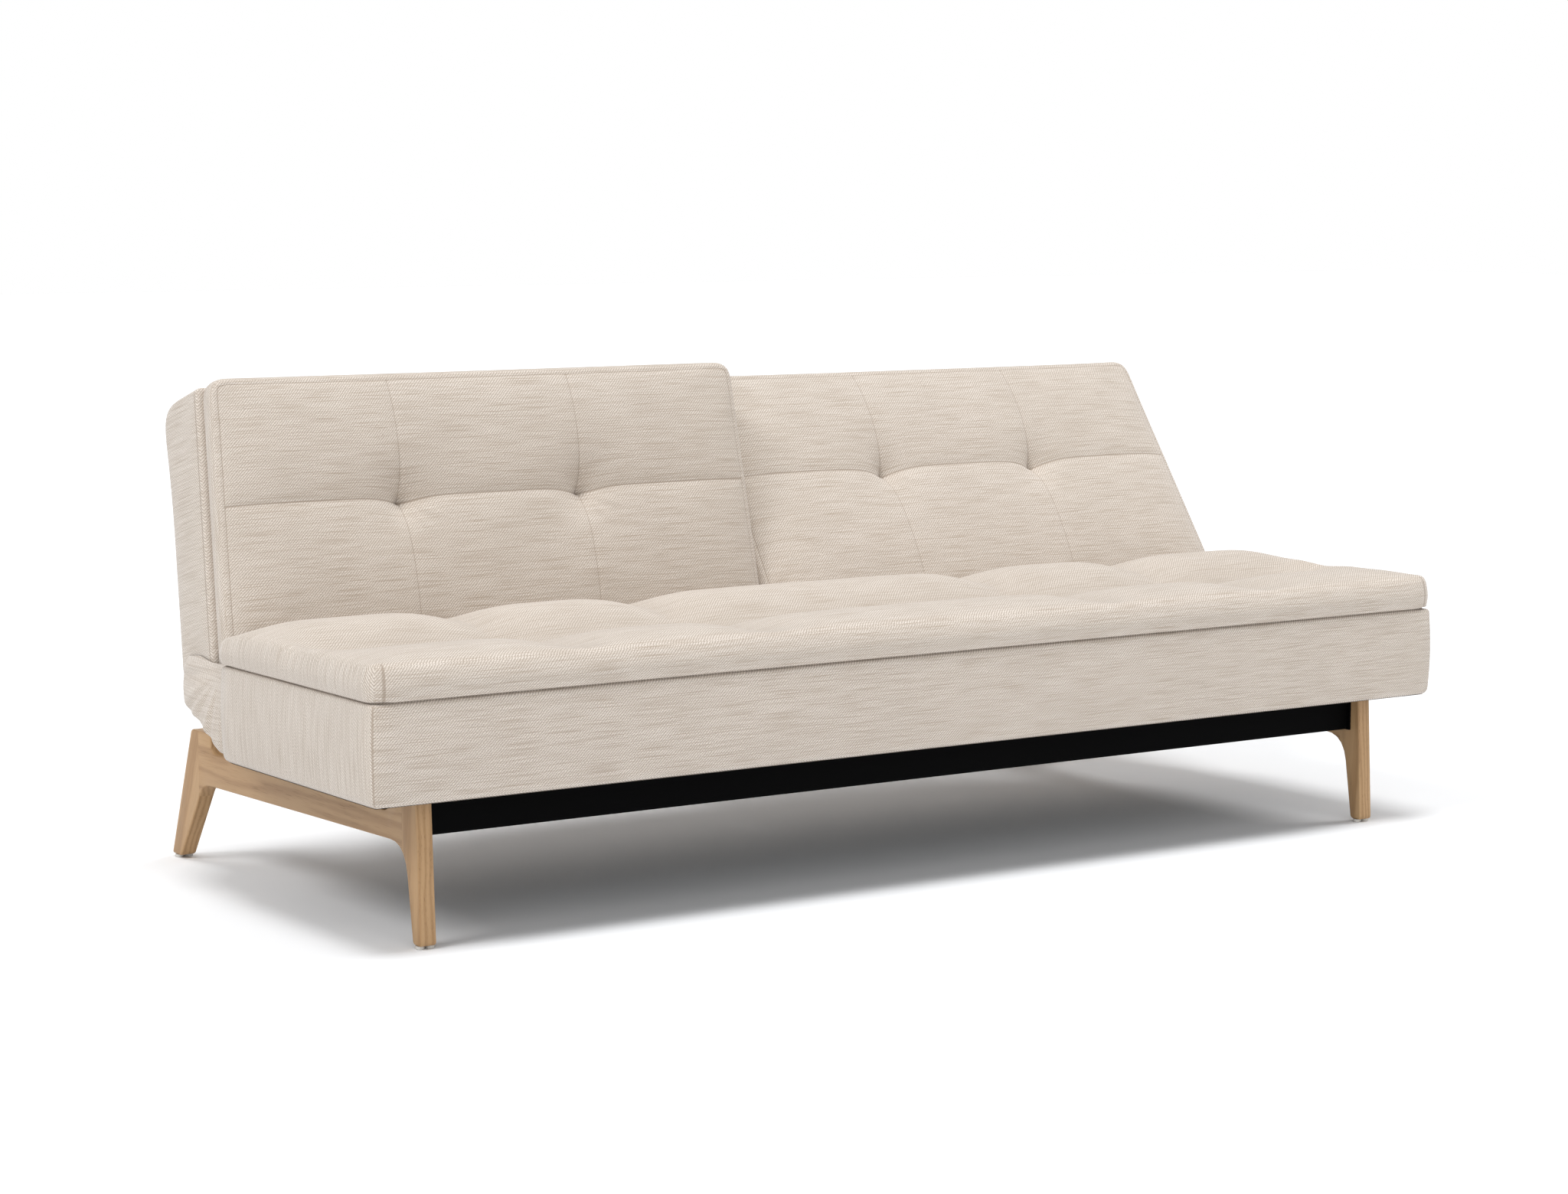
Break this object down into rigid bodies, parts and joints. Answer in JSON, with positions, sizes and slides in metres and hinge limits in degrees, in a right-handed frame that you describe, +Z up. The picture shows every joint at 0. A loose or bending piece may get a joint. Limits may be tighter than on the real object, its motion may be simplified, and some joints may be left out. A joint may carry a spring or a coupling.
{
  "type": "sofa bed",
  "caption": "Armless split-back sofa bed: tufted seat and two reclining backs in beige cloth on oak side frames with black steel beams; each back folds flat.",
  "frame": {"origin": "on the floor, in the middle of the sofa's width and depth", "axes": "+X along the sofa to the right as seen from the front, +Y from front to rear, +Z up"},
  "size_m": [2.1, 0.9376, 0.8154],
  "materials": {
    "upholstery": "beige woven furniture cloth over foam",
    "dust_cloth": "thin black non-woven cloth",
    "webbing": "elastic upholstery webbing",
    "oak": "light natural oak, satin lacquer",
    "frame_timber": "planed softwood, unseen inside the upholstery",
    "black_steel": "matt black powder coat",
    "hinge_steel": "zinc-plated steel",
    "glide": "pale grey nylon"
  },
  "bodies": {
    "base": {"seat_base": "upholstery", "seat_topper": "upholstery", "seat_frame": "frame_timber", "seat_straps": "webbing", "seat_dust_cover": "dust_cloth", "left_front_leg": "oak", "left_side_rail": "oak", "left_rear_leg": "oak", "right_front_leg": "oak", "right_side_rail": "oak", "right_rear_leg": "oak", "foot_glides": "glide", "front_beam": "black_steel", "rear_beam": "black_steel", "left_front_end_plate": "black_steel", "left_rear_end_plate": "black_steel", "right_front_end_plate": "black_steel", "right_rear_end_plate": "black_steel", "frame_bolts": "hinge_steel", "seat_bolts": "hinge_steel", "left_outer_hinge_bracket": "hinge_steel", "left_inner_hinge_bracket": "hinge_steel", "right_outer_hinge_bracket": "hinge_steel", "right_inner_hinge_bracket": "hinge_steel", "bracket_bolts": "hinge_steel", "hinge_pins": "hinge_steel", "left_fold_fabric": "upholstery", "right_fold_fabric": "upholstery"},
    "left_back": {"left_back_topper": "upholstery", "left_back_shell": "upholstery", "left_back_rear_cover": "upholstery", "left_back_frame": "frame_timber", "left_back_straps": "webbing", "left_outer_hinge_arm": "hinge_steel", "left_inner_hinge_arm": "hinge_steel", "left_arm_bolts": "hinge_steel"},
    "right_back": {"right_back_topper": "upholstery", "right_back_shell": "upholstery", "right_back_rear_cover": "upholstery", "right_back_frame": "frame_timber", "right_back_straps": "webbing", "right_outer_hinge_arm": "hinge_steel", "right_inner_hinge_arm": "hinge_steel", "right_arm_bolts": "hinge_steel"}
  },
  "joints": [
    {"name": "left_recline", "type": "hinge", "parent": "base", "child": "left_back", "pos_m": [-0.5, 0.159, 0.379], "axis": [-1, 0, 0], "range_deg": [0, 75.4], "deforming": ["left_fold_fabric"]},
    {"name": "right_recline", "type": "hinge", "parent": "base", "child": "right_back", "pos_m": [0.5, 0.159, 0.379], "axis": [-1, 0, 0], "range_deg": [-17.2, 58.2], "deforming": ["right_fold_fabric"]}
  ]
}
